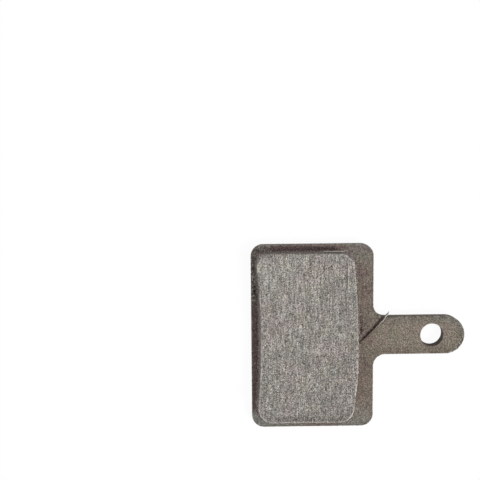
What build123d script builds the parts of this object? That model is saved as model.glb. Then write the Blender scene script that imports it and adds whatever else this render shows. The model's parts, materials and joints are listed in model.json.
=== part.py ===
from build123d import *
from math import radians, sqrt, tan
import os

# Bicycle disc brake pad: a blanked steel backing plate with a friction lining moulded on it.
# Lengths are in millimetres and angles in degrees. The origin is where the pin hole's axis meets the
# plate's back. +X runs out along the tab, +Y across it, and +Z is the way the friction face looks.

# Backing plate
plate_thickness = 1.8
body_width = 19.1  # along X
body_height = 29.0  # along Y
body_corner_radius = 1.9
tab_width = 6.0  # the tab's end is a full half circle of this width
neck_radius = 1.9  # inside corners where the tab leaves the body
pin_to_body = 9.2  # pin hole's axis to the body's tab-side edge
pin_to_tab_end = 5.15
pin_hole_diameter = 3.6
die_roll = 0.3  # rounding that blanking leaves on the outer edges of the back
hole_roll = 0.2  # the same rounding where a hole opens on the back
edge_break = 0.15  # chamfer of the front edges

# Key holes through the plate, which plugs of the lining fill
key_hole_diameter = 5.4
key_pitch = 15.4  # centre to centre, along Y
body_edge_to_keys = 7.7  # body's tab-side edge to the key holes' centres
key_recess = 0.1  # plug's flat end below the plate's back
key_shoulder_width = 0.8  # rounded band round the plug's flat end
key_shoulder_drop = 0.25  # how far that band falls back to the hole's wall

# Friction lining
lining_thickness = 2.2
lining_width = 15.1  # of the friction face, across its middle
lining_height = 26.5  # of the friction face, along Y
lining_setback = 2.6  # body's tab-side edge to the friction face, across its middle
outer_arc_radius = 100.0  # long side towards the tab
inner_arc_radius = 120.0  # long side away from the tab
lining_corner_radius = 2.4
lining_draft = 4.0
face_chamfer = 0.15

# Places that follow from the sizes
body_edge_x = -pin_to_body
body_far_x = body_edge_x - body_width
key_x = body_edge_x - body_edge_to_keys
key_places = [(key_x, -key_pitch / 2), (key_x, key_pitch / 2)]
face_outer_x = body_edge_x - lining_setback
face_inner_x = face_outer_x - lining_width


def plate_outline():
    """Flat outline of the body and its round-ended tab: one half drawn, the other mirrored."""
    half_height = body_height / 2
    half_tab = tab_width / 2
    with BuildSketch() as outline:
        with BuildLine():
            side = FilletPolyline(
                (body_far_x, 0),
                (body_far_x, half_height),
                (body_edge_x, half_height),
                (body_edge_x, half_tab),
                (pin_to_tab_end - half_tab, half_tab),
                radius=[body_corner_radius, body_corner_radius, neck_radius],
            )
            JernArc(side @ 1, side % 1, half_tab, -90)
            mirror(about=Plane.XZ)
        make_face()
    return outline.sketch


def backing_plate():
    """Plate with its pin hole and key holes, rounded at the back by blanking and deburred in front."""
    with BuildPart() as plate:
        with BuildSketch():
            add(plate_outline())
            Circle(pin_hole_diameter / 2, mode=Mode.SUBTRACT)
            with Locations(*key_places):
                Circle(key_hole_diameter / 2, mode=Mode.SUBTRACT)
        extrude(amount=plate_thickness)
        fillet(plate.faces().sort_by(Axis.Z)[0].outer_wire().edges(), die_roll)
        fillet(plate.faces().sort_by(Axis.Z)[0].inner_wires().edges(), hole_roll)
        chamfer(plate.faces().sort_by(Axis.Z)[-1].outer_wire().edges(), edge_break)
        front_holes = plate.faces().sort_by(Axis.Z)[-1].inner_wires()
        pin_rim = front_holes.sort_by_distance((0, 0, plate_thickness))[0]
        chamfer(pin_rim.edges(), edge_break)
    return plate.part


def bow(radius):
    """How far the ends of a long side fall back from its middle."""
    return radius - sqrt(radius**2 - (lining_height / 2) ** 2)


def face_outline():
    """Outline of the friction face: both long sides are arcs that bow towards the tab."""
    half_height = lining_height / 2
    outer_end_x = face_outer_x - bow(outer_arc_radius)
    inner_end_x = face_inner_x - bow(inner_arc_radius)
    with BuildSketch() as outline:
        with BuildLine():
            outer = ThreePointArc((outer_end_x, -half_height), (face_outer_x, 0), (outer_end_x, half_height))
            inner = ThreePointArc((inner_end_x, half_height), (face_inner_x, 0), (inner_end_x, -half_height))
            Line(outer @ 1, inner @ 0)
            Line(inner @ 1, outer @ 0)
        make_face()
        fillet(outline.vertices(), lining_corner_radius)
    return outline.sketch


def lining_block():
    """Block on the plate's front, drafted to leave its mould, with a broken edge round the face."""
    spread = lining_thickness * tan(radians(lining_draft))
    base = Pos(0, 0, plate_thickness) * offset(face_outline(), spread)
    block = extrude(base, lining_thickness, taper=lining_draft)
    return chamfer(block.faces().sort_by(Axis.Z)[-1].edges(), face_chamfer)


def key_plug():
    """Plug that fills a key hole and ends in a low dome just inside the plate's back."""
    radius = key_hole_diameter / 2
    with BuildPart() as plug:
        with BuildSketch(Plane.XZ):
            with BuildLine():
                flat = Line((0, key_recess), (radius - key_shoulder_width, key_recess))
                shoulder = TangentArc(flat @ 1, (radius, key_recess + key_shoulder_drop), tangent=(1, 0))
                Polyline(shoulder @ 1, (radius, plate_thickness), (0, plate_thickness), flat @ 0)
            make_face()
        revolve(axis=Axis.Z)
    return plug.part


def friction_lining():
    """Block and key plugs, moulded in one piece."""
    plugs = [Pos(x, y) * key_plug() for x, y in key_places]
    return lining_block() + plugs


parts = {"backing_plate": backing_plate(), "friction_lining": friction_lining()}
os.makedirs("parts", exist_ok=True)
for name, solid in parts.items():
    export_step(solid, f"parts/{name}.step")
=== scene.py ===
import json
from types import SimpleNamespace
import bmesh
import bpy
import numpy as np
from mathutils.geometry import delaunay_2d_cdt
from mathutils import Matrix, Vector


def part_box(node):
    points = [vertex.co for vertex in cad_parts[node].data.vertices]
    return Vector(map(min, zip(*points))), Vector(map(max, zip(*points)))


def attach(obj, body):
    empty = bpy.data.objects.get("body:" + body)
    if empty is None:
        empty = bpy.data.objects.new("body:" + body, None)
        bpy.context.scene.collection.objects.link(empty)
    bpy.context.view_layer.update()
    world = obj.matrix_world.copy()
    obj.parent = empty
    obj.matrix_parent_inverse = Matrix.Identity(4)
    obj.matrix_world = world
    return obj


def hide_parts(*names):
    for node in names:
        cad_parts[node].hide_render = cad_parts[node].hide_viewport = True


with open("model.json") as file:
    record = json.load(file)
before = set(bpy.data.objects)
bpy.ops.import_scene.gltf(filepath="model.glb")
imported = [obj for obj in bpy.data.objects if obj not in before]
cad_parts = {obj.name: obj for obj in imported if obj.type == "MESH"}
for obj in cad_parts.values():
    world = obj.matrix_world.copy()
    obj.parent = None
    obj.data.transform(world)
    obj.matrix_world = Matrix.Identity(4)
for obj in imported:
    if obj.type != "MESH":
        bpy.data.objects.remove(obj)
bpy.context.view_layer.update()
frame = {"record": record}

# Lengths are in metres, as the frame's are. The pin hole's axis meets the plate's back at the origin. +X runs
# out along the tab, and +Z is the way the friction face looks. In names, near is towards the tab, far is away
# from it, and upper, lower, top and bottom are along Y.
MM = 0.001

# Sizes and places read from the frame
plate_low, plate_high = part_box("backing_plate")
_, lining_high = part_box("friction_lining")
mounts = {mount["name"]: mount for mount in frame["record"]["mounts"]}
FAR_X = plate_low[0]
TAB_END_X = plate_high[0]
HALF_HEIGHT = plate_high[1]
FRONT_Z = plate_high[2]
FACE_Z = lining_high[2]
PIN_RADIUS = mounts["pin_hole"]["dims"]["r_mm"] * MM

# The plate's other sizes
BODY_EDGE_X = -9.2 * MM
BODY_CORNER = 1.9 * MM
TAB_HALF = 3.0 * MM
NECK = 1.9 * MM
DIE_ROLL = 0.3 * MM
HOLE_ROLL = 0.2 * MM
FRONT_BREAK = 0.15 * MM
PIN_BREAK = 0.06 * MM
PIN_LEAN = np.array((0.06 * MM, 0.07 * MM))  # how far the pin hole's back end lies off its axis
KEY_BREAK = 0.02 * MM
KEY_RADIUS = 2.7 * MM
KEY_PLACES = [(-16.9 * MM, -7.7 * MM), (-16.9 * MM, 7.7 * MM)]
HOLES = [((0.0, 0.0), PIN_RADIUS)] + [(place, KEY_RADIUS) for place in KEY_PLACES]

# The lining's other sizes
DRAFT = np.tan(np.radians(4.0))
SPREAD = (FACE_Z - FRONT_Z) * DRAFT
FACE_NEAR_X = lining_high[0] - SPREAD
FACE_FAR_X = -26.9 * MM
FACE_HALF = lining_high[1] - SPREAD
NEAR_ARC = 100.0 * MM
FAR_ARC = 120.0 * MM
FACE_CORNER = 2.4 * MM
FACE_BREAK = 0.15 * MM
RIDGE_X = (-17.2 * MM, -13.0 * MM)  # stretch of the top side where a ridge of flash stands at the foot
SUNK = 0.01 * MM  # how far the lining reaches into the plate, so that no light gets between

# Spacing of the points that carry wear and relief
RIM_STEP = 0.12 * MM
FLAT_STEP = 0.25 * MM
MARK_STEP = 0.06 * MM
FACE_STEP = 0.1 * MM


# Paths and surfaces

def arc_points(centre, radius, start, sweep, step):
    """Points of an arc without its last: the centre plus the radius, turned through even steps of angle."""
    count = int(np.ceil(np.radians(abs(sweep)) * radius / step))
    turn = np.radians(start + sweep * np.arange(count) / count)
    return np.column_stack((centre[0] + radius * np.cos(turn), centre[1] + radius * np.sin(turn)))


def run_points(start, end, step):
    """Points of a straight run without its last, evenly spaced."""
    span = np.subtract(end, start)
    count = int(np.ceil(np.hypot(*span) / step))
    return np.array(start) + np.arange(count)[:, None] / count * span


def outward(path):
    """Unit normals of a closed path: the run between each point's neighbours, turned to the right."""
    along = np.roll(path, -1, 0) - np.roll(path, 1, 0)
    along /= np.linalg.norm(along, axis=1, keepdims=True)
    return np.column_stack((along[:, 1], -along[:, 0]))


def carry(path, out, level):
    """A profile carried along a closed path: each path point moved along its normal by out, at height level.

    Both have a row for each path point and a column for each profile point.
    """
    normal = outward(path)
    x = path[:, :1] + normal[:, :1] * out
    y = path[:, 1:] + normal[:, 1:] * out
    return np.stack(np.broadcast_arrays(x, y, level), -1)


def quads(rows, columns, rows_close=True):
    """Corner numbers of a grid's faces. Where rows_close, the last row joins the first."""
    row = np.arange(rows if rows_close else rows - 1)[:, None]
    column = np.arange(columns - 1)[None, :]
    here, after = row * columns + column, (row + 1) % rows * columns + column
    return np.stack((here, after, after + 1, here + 1), -1).reshape(-1, 4)


WHOLE_NET = 0  # kind of net that fills all that the points span
SAME_POINT = 1e-5  # distance, in millimetres, under which the net takes two points for one


def fill(rings, inner):
    """Flat net to the left of closed rings: Delaunay triangles over their points and the inner ones.

    A triangle with all its corners on one ring lies to the ring's left if it meets them in the ring's order.
    """
    sizes = [len(ring) for ring in rings]
    index = np.arange(sum(sizes))
    following = np.concatenate([np.roll(ring, -1) for ring in np.split(index, np.cumsum(sizes)[:-1])])
    edges = np.column_stack((index, following)).tolist()
    points = np.vstack(rings + [inner])
    _, _, corners, sources, *_ = delaunay_2d_cdt((points / MM).tolist(), edges, [], WHOLE_NET, SAME_POINT)
    triangles = np.array([ids[0] for ids in sources])[np.array(corners)]
    first = triangles.argmin(1)[:, None]
    triangles = np.take_along_axis(triangles, (first + np.arange(3)) % 3, 1)
    ring_of = np.concatenate((np.repeat(np.arange(len(rings)), sizes), np.full(len(inner), -1)))
    ring = ring_of[triangles]
    between = (ring != ring[:, :1]).any(1) | (ring[:, 0] < 0)
    return points, triangles[between | (triangles[:, 1] < triangles[:, 2])]


def inner_points(low, high, step, keep):
    """Points of a square grid, every second row shifted by half a step, that pass keep(x, y)."""
    x, y = np.meshgrid(np.arange(low[0], high[0], step), np.arange(low[1], high[1], step))
    x[1::2] += step / 2
    kept = keep(x, y)
    return np.column_stack((x[kept], y[kept]))


def rise(value, low, high):
    """0 below low, 1 above high, and a smooth step between."""
    share = np.clip((value - low) / (high - low), 0, 1)
    return share * share * (3 - 2 * share)


def fall(value, low, high):
    """1 below low, 0 above high, and a smooth step between."""
    return 1 - rise(value, low, high)


def band(value, start, full, fade, end):
    """0 below start and above end, 1 from full to fade, and smooth steps between."""
    return rise(value, start, full) * fall(value, fade, end)


def bell(value, middle, half):
    """Bell curve: 1 at the middle, and 1 / e at half on either side of it."""
    return np.exp(-(((value - middle) / half) ** 2))


def cell_noise(shape, wave, seed, stretch=1.0):
    """Seamless noise of unit spread: white noise whose spectrum keeps a band round one wave length, in cells.

    stretch makes its grains longer along the rows' direction by that factor.
    """
    white = np.random.default_rng(seed).standard_normal(shape)
    along = np.fft.fftfreq(shape[0])[:, None] * stretch
    across = np.fft.rfftfreq(shape[1])[None, :]
    away = np.log(np.maximum(np.hypot(across, along) * wave, 1e-6))
    field = np.fft.irfft2(np.fft.rfft2(white) * np.exp(-2.0 * away**2), shape)
    return field / field.std()


def path_noise(count, wave, seed):
    """That noise along a closed path, as a column with a row for each path point."""
    return cell_noise((count, 1), wave, seed)


NOISE_SIDE = 512
WAVE_CELLS = 8


def plane_noise(x, y, wave, seed, stretch=1.0):
    """That noise over the plane, longer along Y by stretch.

    A square of it repeats, and each place takes a weighted mean of the square's four nearest cells.
    """
    field = cell_noise((NOISE_SIDE, NOISE_SIDE), WAVE_CELLS, seed, stretch)
    u, v = x * WAVE_CELLS / wave, y * WAVE_CELLS / wave
    column, row = np.floor(u).astype(int), np.floor(v).astype(int)
    right, up = u - column, v - row
    column, row = column % NOISE_SIDE, row % NOISE_SIDE
    next_column, next_row = (column + 1) % NOISE_SIDE, (row + 1) % NOISE_SIDE
    low = field[row, column] * (1 - right) + field[row, next_column] * right
    high = field[next_row, column] * (1 - right) + field[next_row, next_column] * right
    return low * (1 - up) + high * up


def new_object(name, data):
    """An object of the scene that holds the mesh, lamp or camera given."""
    made = bpy.data.objects.new(name, data)
    bpy.context.collection.objects.link(made)
    return made


WELD_GAP = 0.002 * MM
SHARP_ANGLE = np.radians(40)


def make_piece(name, sheets, node=None):
    """One closed mesh of sheets, each (points, faces, {attribute: values}), welded where they meet."""
    faces = []
    start = 0
    for points, sheet_faces, _ in sheets:
        faces += (sheet_faces + start).tolist()
        start += points.size // 3
    mesh = bpy.data.meshes.new(name)
    mesh.from_pydata(np.vstack([points.reshape(-1, 3) for points, _, _ in sheets]).tolist(), [], faces)
    for key in sheets[0][2]:
        values = [np.broadcast_to(layers[key], points.shape[:-1]).ravel() for points, _, layers in sheets]
        layer = mesh.attributes.new(key, "FLOAT", "POINT")
        layer.data.foreach_set("value", np.concatenate(values).astype(np.float32))
    body = bmesh.new()
    body.from_mesh(mesh)
    bmesh.ops.remove_doubles(body, verts=body.verts, dist=WELD_GAP)
    bmesh.ops.recalc_face_normals(body, faces=body.faces)
    body.to_mesh(mesh)
    body.free()
    mesh.shade_smooth()
    mesh.set_sharp_from_angle(angle=SHARP_ANGLE)
    piece = new_object(name, mesh)
    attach(piece, "root")
    if node:
        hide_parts(node)
    return piece


# Backing plate

def plate_path(step):
    """The plate's outline, counter-clockwise from the lower neck: straight runs and arcs, end to end."""
    neck_x, neck_y = BODY_EDGE_X + NECK, TAB_HALF + NECK
    end_x = TAB_END_X - TAB_HALF
    corner_y = HALF_HEIGHT - BODY_CORNER
    near_x, far_x = BODY_EDGE_X - BODY_CORNER, FAR_X + BODY_CORNER
    return np.vstack((
        run_points((neck_x, -TAB_HALF), (end_x, -TAB_HALF), step),
        arc_points((end_x, 0), TAB_HALF, -90, 180, step),
        run_points((end_x, TAB_HALF), (neck_x, TAB_HALF), step),
        arc_points((neck_x, neck_y), NECK, 270, -90, step),
        run_points((BODY_EDGE_X, neck_y), (BODY_EDGE_X, corner_y), step),
        arc_points((near_x, corner_y), BODY_CORNER, 0, 90, step),
        run_points((near_x, HALF_HEIGHT), (far_x, HALF_HEIGHT), step),
        arc_points((far_x, corner_y), BODY_CORNER, 90, 90, step),
        run_points((FAR_X, corner_y), (FAR_X, -corner_y), step),
        arc_points((far_x, -corner_y), BODY_CORNER, 180, 90, step),
        run_points((far_x, -HALF_HEIGHT), (near_x, -HALF_HEIGHT), step),
        arc_points((near_x, -corner_y), BODY_CORNER, 270, 90, step),
        run_points((BODY_EDGE_X, -corner_y), (BODY_EDGE_X, -neck_y), step),
        arc_points((neck_x, -neck_y), NECK, 180, -90, step),
    ))


def plate_distance(x, y):
    """Distance outside the outline, negative inside: the rounded body joined to the tab by the neck."""
    over_x = abs(x - (BODY_EDGE_X + FAR_X) / 2) - (BODY_EDGE_X - FAR_X) / 2 + BODY_CORNER
    over_y = abs(y) - HALF_HEIGHT + BODY_CORNER
    corner = np.hypot(np.maximum(over_x, 0), np.maximum(over_y, 0))
    body = corner + np.minimum(np.maximum(over_x, over_y), 0) - BODY_CORNER
    along = x - np.clip(x, BODY_EDGE_X - NECK, TAB_END_X - TAB_HALF)
    tab = np.hypot(along, y) - TAB_HALF
    joined = np.hypot(np.maximum(NECK - body, 0), np.maximum(NECK - tab, 0))
    return np.maximum(NECK, np.minimum(body, tab)) - joined


def edge_distance(x, y):
    """How far a place on the plate lies from its nearest edge, the outline's or a hole's."""
    margin = -plate_distance(x, y)
    for (hole_x, hole_y), radius in HOLES:
        margin = np.minimum(margin, np.hypot(x - hole_x, y - hole_y) - radius)
    return margin


# Marks on the plate's front
PIT_PLACE = (-11.2 * MM, 0.9 * MM)
PIT_HALF = (0.25 * MM, 0.38 * MM)
PIT_DEPTH = 0.2 * MM
GRIME_PLACE = (-10.9 * MM, 2.2 * MM)
GRIME_RADIUS = 1.4 * MM
DENT_HEIGHT = 0.003 * MM
DENT_WAVE = 2.5 * MM

# Score across the tab's root, with a burr standing along its lower side
SCORE_START = np.array((-11.46 * MM, -1.18 * MM))
SCORE_END = np.array((-6.71 * MM, 3.77 * MM))
SCORE_LENGTH = np.hypot(*(SCORE_END - SCORE_START))
SCORE_WAY = (SCORE_END - SCORE_START) / SCORE_LENGTH
SCORE_SIDE = np.array((-SCORE_WAY[1], SCORE_WAY[0]))
SCORE_WIDTH = (0.42 * MM, 0.66 * MM)  # at its two ends
SCORE_DEPTH = 0.06 * MM
SCORE_BOW = 0.13 * MM  # how far its middle lies off the straight line, towards the tab's end

# The rim's grid: rows of points from the front flat over the edge to the back flat
RIM_INSET = 0.6 * MM  # flat band along each edge that belongs to the rim's grid
RIM_MIDDLE = 0.35 * MM  # where that band has a second row in front
FLAT_ROWS = 2
BREAK_ROWS = 5
WALL_ROWS = 12
ROLL_ROWS = 7
WALL_START = FLAT_ROWS + BREAK_ROWS
WALL_END = WALL_START + WALL_ROWS


def score_place(x, y):
    """Share of the score's length at which a point lies, and how far it lies to the score's upper side."""
    away_x, away_y = x - SCORE_START[0], y - SCORE_START[1]
    along = (away_x * SCORE_WAY[0] + away_y * SCORE_WAY[1]) / SCORE_LENGTH
    across = away_x * SCORE_SIDE[0] + away_y * SCORE_SIDE[1]
    return along, across + SCORE_BOW * np.sin(np.pi * np.clip(along, 0, 1))


def score_depth(x, y):
    """Share of the score's full depth: a groove that starts at the burr's foot and widens along the score."""
    along, across = score_place(x, y)
    width = SCORE_WIDTH[0] + (SCORE_WIDTH[1] - SCORE_WIDTH[0]) * np.clip(along, 0, 1)
    width = width * (1 + 0.25 * plane_noise(x, y, 0.7 * MM, 23))
    return band(across, -0.06 * MM, 0.0, 0.3 * width, width) * band(along, 0.0, 0.12, 1.0, 1.05)


def pit_depth(x, y):
    """Share of the pit's full depth: a bell curve round its place."""
    return bell(x, PIT_PLACE[0], PIT_HALF[0]) * bell(y, PIT_PLACE[1], PIT_HALF[1])


def flat_dents(x, y, seed):
    """Height of slow dents, which fade out in the rims' bands."""
    away = rise(edge_distance(x, y), RIM_INSET, 2 * RIM_INSET)
    return DENT_HEIGHT * plane_noise(x, y, DENT_WAVE, seed) * away


def front_height(x, y):
    """Height of the plate's front: slow dents, the score and the pit."""
    return FRONT_Z + flat_dents(x, y, 21) - SCORE_DEPTH * score_depth(x, y) - PIT_DEPTH * pit_depth(x, y)


def on_ledge(x):
    """1 on the body, whose ledges show round the lining, and 0 on the tab."""
    return rise(-x, 8 * MM, 10.5 * MM)


def body_zones(x, y):
    """Places on the body where the front's coat differs, as shares: smooth steps in X, in Y or slanting."""
    ledge = on_ledge(x)
    far = rise(-x, 24 * MM, 26.5 * MM)
    near_side = rise(x + 2.2 * MM * (y < 0), -14.5 * MM, -12 * MM)
    near_corners = ledge * near_side * rise(abs(y), 10 * MM, 12.5 * MM)
    top_part = rise(x, -27 * MM, -24.5 * MM) * (1 - 0.7 * rise(x, -16 * MM, -13 * MM))
    clouds = plane_noise(x, y, 4 * MM, 31)
    sprayed = rise(clouds + 0.7 * plane_noise(x, y, 1.3 * MM, 32), -0.7, 1.3)
    return {
        "ledge": ledge,
        "clouds": clouds,  # plain noise
        "sprayed": sprayed * (1 - 0.5 * rise(-y, 0.0, 3 * MM)),
        "far": far,
        "far_middle": far * bell(y, 1.5 * MM, 4 * MM),
        "upper_far": far * rise(y, 3.5 * MM, 7.5 * MM),
        "far_corner": rise(y - x, 38 * MM, 40.5 * MM),
        "lower_far": rise(-0.5 * x - 1.5 * y, 31 * MM, 33 * MM),
        "near_corners": near_corners,
        "lower_near": near_corners * rise(-y, 0.0, MM),
        "top": ledge * rise(y, 12.2 * MM, 13.4 * MM) * top_part,
        "bottom": rise(-y, 13.3 * MM, 13.8 * MM),
    }


def tab_zones(x, y):
    """Places on the tab where the front's coat differs, and the rim, as shares: steps and edge fades."""
    inside = np.maximum(-plate_distance(x, y), 0)
    tab = 1 - on_ledge(x)
    round_pin = np.hypot(x, y)
    below_pin = rise(-0.55 * x - 0.84 * y, 0.55 * round_pin, 0.95 * round_pin)
    return {
        "rim": np.exp(-inside / (0.22 * MM)),
        "tab_rim": tab * fall(inside, 0.4 * MM, 1.8 * MM),
        "tab_low": tab * rise(-y, MM, 2 * MM),
        "tab_top": tab * rise(y, 1.6 * MM, 2.6 * MM),
        "tab_end": rise(x, 0.5 * MM, 3.0 * MM) * np.exp(-inside / (0.7 * MM)) * rise(y, -0.5 * MM, 1.5 * MM),
        "tab_nicked": rise(0.87 * x - 0.5 * y, 3.7 * MM, 4.4 * MM) * np.exp(-inside / MM),
        "root": band(-x, 5 * MM, 7 * MM, 9 * MM, 11 * MM) * fall(abs(y), 1.5 * MM, 3 * MM),
        "pin_dirt": bell(round_pin, PIN_RADIUS, 0.2 * MM) * below_pin,
    }


def mark_zones(x, y):
    """The front's marks and the places beside them, as shares: bands, bell curves and specks of noise."""
    along, across = score_place(x, y)
    by_lining = bell(x, -11.4 * MM, 0.5 * MM) * band(y, 0.5 * MM, 1.5 * MM, 5 * MM, 6.5 * MM)
    by_ridge = band(x, RIDGE_X[0] - 2 * MM, RIDGE_X[0], RIDGE_X[1] - MM, RIDGE_X[1])
    return {
        "pit": pit_depth(x, y),
        "grime": bell(np.hypot(x - GRIME_PLACE[0], y - GRIME_PLACE[1]), 0.0, GRIME_RADIUS),
        "score": score_depth(x, y),
        # Dirt in the score and painted shade that deepens the burr's shadow, less of it towards the high end
        "score_dirt": 0.6 + 0.4 * rise(along, 0.1, 0.3) - 0.9 * rise(along, 0.5, 0.85),
        "by_burr": band(-across, -0.05 * MM, 0.05 * MM, 0.15 * MM, 0.6 * MM) * rise(along, -0.02, 0.05),
        "by_lining": by_lining * rise(plane_noise(x, y, 0.5 * MM, 33), 0.5, 1.4),
        # Painted shade: the top ledge beside the ridge, inside the lining's shadow
        "by_ridge": by_ridge * band(y, 13.4 * MM, 13.6 * MM, 13.9 * MM, 14.1 * MM),
    }


def soot_and_shade_share(at):
    """Black dirt on the ledges, rims and marks, rubbed off corners and the far side, and some painted shade.
    """
    ledges = 0.03 + at.ledge * (0.24 + 0.03 * at.clouds) + 0.05 * at.bottom + 0.06 * at.far_middle
    tab = 0.2 * at.tab_rim + 0.03 * at.tab_low + 0.03 * at.root + 0.4 * at.pin_dirt
    # The score's darkening is dirt and painted shade beside the burr
    marks = at.pit + 0.42 * at.score * at.score_dirt + 0.13 * at.grime
    # Beside the ridge this is painted shade; beside the rims, the burr and the lining it is dirt
    beside = 0.25 * at.rim + 0.2 * at.by_burr + 0.6 * at.by_lining + 0.12 * at.by_ridge
    rubbed_far = 0.05 * at.far + 0.08 * at.upper_far + 0.14 * at.far_corner + 0.12 * at.lower_far
    return ledges + tab + marks + beside - rubbed_far - 0.12 * at.near_corners - 0.08 * at.lower_near


def plum_share(at):
    """Purple overspray: in clouds on the ledges, and even on the far side, the top and the score."""
    even = np.maximum(at.far * (1 - at.upper_far), at.top) + 0.25 * at.bottom
    bare = (1 - at.lower_far) * (1 - 0.8 * at.upper_far) * (1 - 0.8 * at.grime)
    return (0.8 * at.ledge * at.sprayed + even) * bare + 0.9 * at.score


def grey_share(at):
    """Cooler coat: on the body's corners, bottom and upper far ledge, and the tab's top and upper end."""
    corners = np.maximum(at.lower_far, at.tab_end) + 0.4 * at.upper_far + 0.5 * at.near_corners
    return corners + 0.5 * at.tab_top + 0.4 * at.bottom - at.score


def scuff_share(at):
    """Pale and dark specks: most on the tab's lower end and the upper far ledge."""
    return at.tab_nicked + at.upper_far * (1 - 0.5 * at.far_corner) + 0.25 * at.grime + 0.3 * at.tab_end


def front_layers(x, y):
    """What lies on the front's coat at a place, each a share between 0 and 1."""
    at = SimpleNamespace(**body_zones(x, y), **tab_zones(x, y), **mark_zones(x, y))
    shares = {"soot_and_shade": soot_and_shade_share, "plum": plum_share, "grey": grey_share, "scuff": scuff_share}
    return {name: np.clip(share(at), 0, 1) for name, share in shares.items()}


def rim(path, front_break, roll, tearing, paint, grime, bare):
    """Edge of the plate: a profile carried along an outline or a hole, from the front flat to the back one.

    It is a small quarter round in front, a wall whose front part is torn and leans in a little, and the
    larger quarter round that blanking leaves at the back. Any size or share may be given for each path point,
    apart from the grime.
    """
    count = len(path)
    front_break, roll, tearing, paint, bare = (
        np.broadcast_to(value, count)[:, None] for value in (front_break, roll, tearing, paint, bare)
    )
    flat = np.zeros((count, 1))
    quarter = np.radians(np.linspace(0, 90, BREAK_ROWS)) + flat
    down = np.linspace(0, 1, WALL_ROWS + 2)[1:-1] + flat
    turn = np.radians(np.linspace(0, 90, ROLL_ROWS)) + flat
    torn = fall(down, 0.45, 0.6) * tearing * (1 + 0.8 * cell_noise((count, WALL_ROWS), 4.0, 11, 0.4))
    wall_top = FRONT_Z - front_break
    out = np.hstack((
        flat - RIM_INSET, flat - RIM_MIDDLE, front_break * (np.sin(quarter) - 1), -torn,
        roll * (np.cos(turn) - 1), flat - RIM_INSET,
    ))
    out[:, FLAT_ROWS:-1] += 0.5 * tearing * path_noise(count, 6.0, 12)
    level = np.hstack((
        flat + FRONT_Z, flat + FRONT_Z, FRONT_Z + front_break * (np.cos(quarter) - 1),
        wall_top - (wall_top - roll) * down, roll * (1 - np.sin(turn)), flat,
    ))
    points = carry(path, out, level)
    front = points[:, :WALL_START]
    front[..., 2] += front_height(front[..., 0], front[..., 1]) - FRONT_Z
    worn = np.hstack((flat, flat, np.sin(2 * quarter), 0 * down, 0.2 + 0.8 * np.sin(2 * turn), flat))
    wall_paint = paint * (0.15 + 1.5 * rise(down, 0.3, 1.0))
    back_paint = paint ** (1 - np.sin(turn))
    back = np.hstack((flat, flat, 0.3 * paint * np.sin(quarter), wall_paint, back_paint, flat + 1))
    layers = {"edge": worn, "back": back, **front_layers(points[..., 0], points[..., 1])}
    layers["soot_and_shade"][:, WALL_START:-1] = grime
    layers["soot_and_shade"][:, FLAT_ROWS:-1] *= 1 - 0.8 * bare
    layers["plum"][:, FLAT_ROWS:-1] *= 1 - 0.6 * bare
    layers["grey"][:, WALL_START:-1] = bare
    layers["scuff"][:, WALL_START:WALL_END] *= 0.6 * fall(down, 0.0, 0.5)
    layers["scuff"][:, WALL_END:] = 0
    return points, quads(*out.shape), layers


ROLL_SPAN = 6  # path points on either side over which the die roll is evened out
ROLL_GAIN = 0.5 * MM  # share by which it deepens, for each radian that a metre of the path bends


def plate_roll(path):
    """Die roll for each path point: in step with the outline's bend, deeper on corners than in the neck.

    The bend is the turn from one normal to the next over their distance, averaged along the path.
    """
    normal = outward(path)
    ahead = np.roll(normal, -1, 0)
    bend = (normal[:, 0] * ahead[:, 1] - normal[:, 1] * ahead[:, 0]) / RIM_STEP
    window = 2 * ROLL_SPAN + 1
    bend = np.convolve(np.pad(bend, ROLL_SPAN, "wrap"), np.ones(window), "valid") / window
    return DIE_ROLL * (1 + ROLL_GAIN * bend)


def by_marks(x, y):
    """True near the score and the pit, where the front has closer points."""
    along, across = score_place(x, y)
    by_score = (abs(across - 0.15 * MM) < 0.4 * MM) & (along > -0.05)
    by_pit = np.hypot(x - PIT_PLACE[0], y - PIT_PLACE[1]) < 2 * PIT_HALF[1]
    return by_score | by_pit


def plate_flat(rings, front):
    """Front or back flat of the plate: a net between the rims' rings, at the height of dents and marks."""
    def coarse(x, y):
        """True on the flat, apart from the marks in front."""
        return (edge_distance(x, y) > RIM_INSET + 0.5 * FLAT_STEP) & ~(front & by_marks(x, y))

    def close(x, y):
        """True on the marks in front."""
        return (edge_distance(x, y) > RIM_INSET + MARK_STEP) & front & by_marks(x, y)

    inner = np.vstack((
        inner_points((FAR_X, -HALF_HEIGHT), (TAB_END_X, HALF_HEIGHT), FLAT_STEP, coarse),
        inner_points(SCORE_START - MM, SCORE_END + MM, MARK_STEP, close),
    ))
    flat, triangles = fill(rings, inner)
    x, y = flat.T
    height = front_height(x, y) if front else flat_dents(x, y, 22)
    layers = {"edge": 0.0, "back": 0.0 if front else 1.0, **front_layers(x, y)}
    return np.column_stack((x, y, height)), triangles, layers


OUTLINE_TEARING = 0.012 * MM
HOLE_TEARING = 0.008 * MM


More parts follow.
